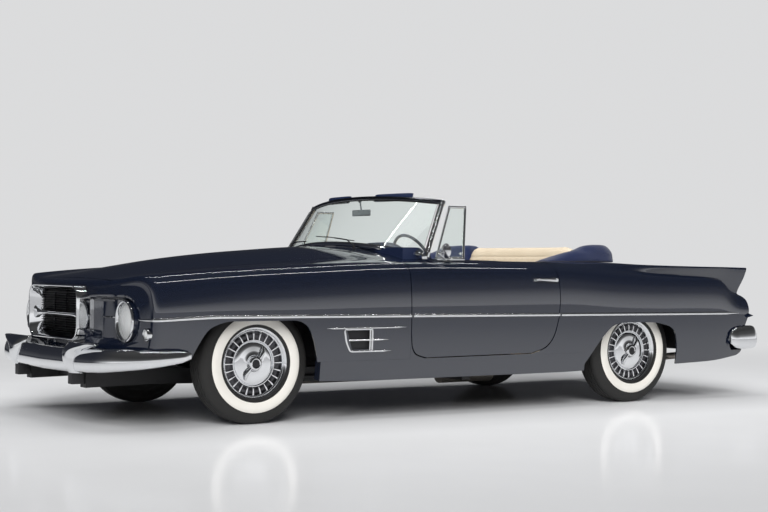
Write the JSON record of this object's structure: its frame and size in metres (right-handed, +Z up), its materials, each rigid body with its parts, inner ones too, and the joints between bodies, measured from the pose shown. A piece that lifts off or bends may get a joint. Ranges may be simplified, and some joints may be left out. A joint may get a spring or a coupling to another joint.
{
  "type": "1950s two-door convertible car",
  "caption": "Long low two-door convertible with tail fins, hood folded under its cover, wraparound windscreen, chrome bumpers and whitewall tyres.",
  "frame": {"origin": "on the floor, under the middle of the car's box", "axes": "-Y towards the nose, +X towards the car's left side, +Z up"},
  "size_m": [2.024, 5.169, 1.395],
  "materials": {
    "body_paint": "gloss dark navy metallic",
    "under_paint": "satin black underseal",
    "frame_paint": "satin black",
    "chrome": "polished plating",
    "wheel_chrome": "polished wheel covers",
    "dark_metal": "dark satin",
    "cast_iron": "painted casting",
    "exhaust_steel": "dull steel",
    "lamp_glass": "fluted clear glass",
    "red_lens": "red lens",
    "clear_glass": "clear, faint green",
    "cream_leather": "soft cream leather",
    "blue_trim": "dark blue trim",
    "top_cloth": "dark blue top cloth",
    "wheel_plastic": "ivory steering wheel",
    "tyre": "black tread, white sidewall band"
  },
  "bodies": {
    "root": {"front_fenders": "body_paint", "nose_panel": "body_paint", "grille_surround": "chrome", "grille_slats": "dark_metal", "headlamps": "lamp_glass", "parking_lamps": "lamp_glass", "tail_lamps": "red_lens", "cowl": "body_paint", "door_posts": "body_paint", "rockers": "body_paint", "rear_quarters": "body_paint", "rear_panels": "body_paint", "floor_pan": "under_paint", "firewall": "under_paint", "wheelhouses": "under_paint", "chassis_frame": "frame_paint", "front_suspension": "frame_paint", "engine": "cast_iron", "transmission": "cast_iron", "rear_axle": "cast_iron", "radiator": "dark_metal", "fuel_tank": "under_paint", "exhausts": "exhaust_steel", "front_bumper": "chrome", "rear_bumper": "chrome", "front_seat": "cream_leather", "rear_seat": "cream_leather", "dashboard": "body_paint", "quarter_trims": "cream_leather", "folded_top_cover": "top_cloth", "windscreen_frame": "chrome", "windscreen_glass": "clear_glass", "side_trims": "chrome", "inner_mirror": "chrome", "sun_visors": "blue_trim"},
    "bonnet": {"bonnet": "body_paint"},
    "boot_lid": {"boot_lid": "body_paint"},
    "door_left": {"door_left": "body_paint", "door_chrome_left": "chrome", "quarter_light_left": "clear_glass"},
    "door_right": {"door_right": "body_paint", "door_chrome_right": "chrome", "quarter_light_right": "clear_glass"},
    "steering_wheel": {"steering_wheel": "wheel_plastic"},
    "knuckle_left": {"knuckle_left": "cast_iron"},
    "knuckle_right": {"knuckle_right": "cast_iron"},
    "wheel_front_left": {"tyre_front_left": "tyre", "wheel_front_left": "wheel_chrome"},
    "wheel_front_right": {"tyre_front_right": "tyre", "wheel_front_right": "wheel_chrome"},
    "wheel_rear_left": {"tyre_rear_left": "tyre", "wheel_rear_left": "wheel_chrome"},
    "wheel_rear_right": {"tyre_rear_right": "tyre", "wheel_rear_right": "wheel_chrome"}
  },
  "joints": [
    {"name": "steer_left", "type": "hinge", "parent": "root", "child": "knuckle_left", "pos_m": [0.69, -1.5845, 0.352], "axis": [0, 0, 1], "range_deg": [-30, 30]},
    {"name": "steer_right", "type": "hinge", "parent": "root", "child": "knuckle_right", "pos_m": [-0.69, -1.5845, 0.352], "axis": [0, 0, 1], "range_deg": [-30, 30]},
    {"name": "steering_wheel_turn", "type": "hinge", "parent": "root", "child": "steering_wheel", "pos_m": [0.38, -0.1435, 0.933], "axis": [0, 0.9063, 0.4226], "range_deg": [-540, 540]},
    {"name": "wheel_front_left_spin", "type": "hinge", "parent": "knuckle_left", "child": "wheel_front_left", "pos_m": [0.776, -1.5845, 0.352], "axis": [1, 0, 0], "continuous": true},
    {"name": "wheel_front_right_spin", "type": "hinge", "parent": "knuckle_right", "child": "wheel_front_right", "pos_m": [-0.776, -1.5845, 0.352], "axis": [1, 0, 0], "continuous": true},
    {"name": "wheel_rear_left_spin", "type": "hinge", "parent": "root", "child": "wheel_rear_left", "pos_m": [0.776, 1.3365, 0.352], "axis": [1, 0, 0], "continuous": true},
    {"name": "wheel_rear_right_spin", "type": "hinge", "parent": "root", "child": "wheel_rear_right", "pos_m": [-0.776, 1.3365, 0.352], "axis": [1, 0, 0], "continuous": true},
    {"name": "door_left_hinge", "type": "hinge", "parent": "root", "child": "door_left", "pos_m": [0.978, -0.5515, 0.6], "axis": [0, 0, -1], "range_deg": [0, 68]},
    {"name": "door_right_hinge", "type": "hinge", "parent": "root", "child": "door_right", "pos_m": [-0.978, -0.5515, 0.6], "axis": [0, 0, 1], "range_deg": [0, 68]},
    {"name": "bonnet_hinge", "type": "hinge", "parent": "root", "child": "bonnet", "pos_m": [0, -0.8345, 1.007], "axis": [-1, 0, 0], "range_deg": [0, 45]},
    {"name": "boot_lid_hinge", "type": "hinge", "parent": "root", "child": "boot_lid", "pos_m": [0, 1.4355, 0.912], "axis": [1, 0, 0], "range_deg": [0, 60]}
  ],
  "couplings": [
    {"joint": "steer_right", "follows": "steer_left", "ratio": 1},
    {"joint": "steering_wheel_turn", "follows": "steer_left", "ratio": 18}
  ]
}
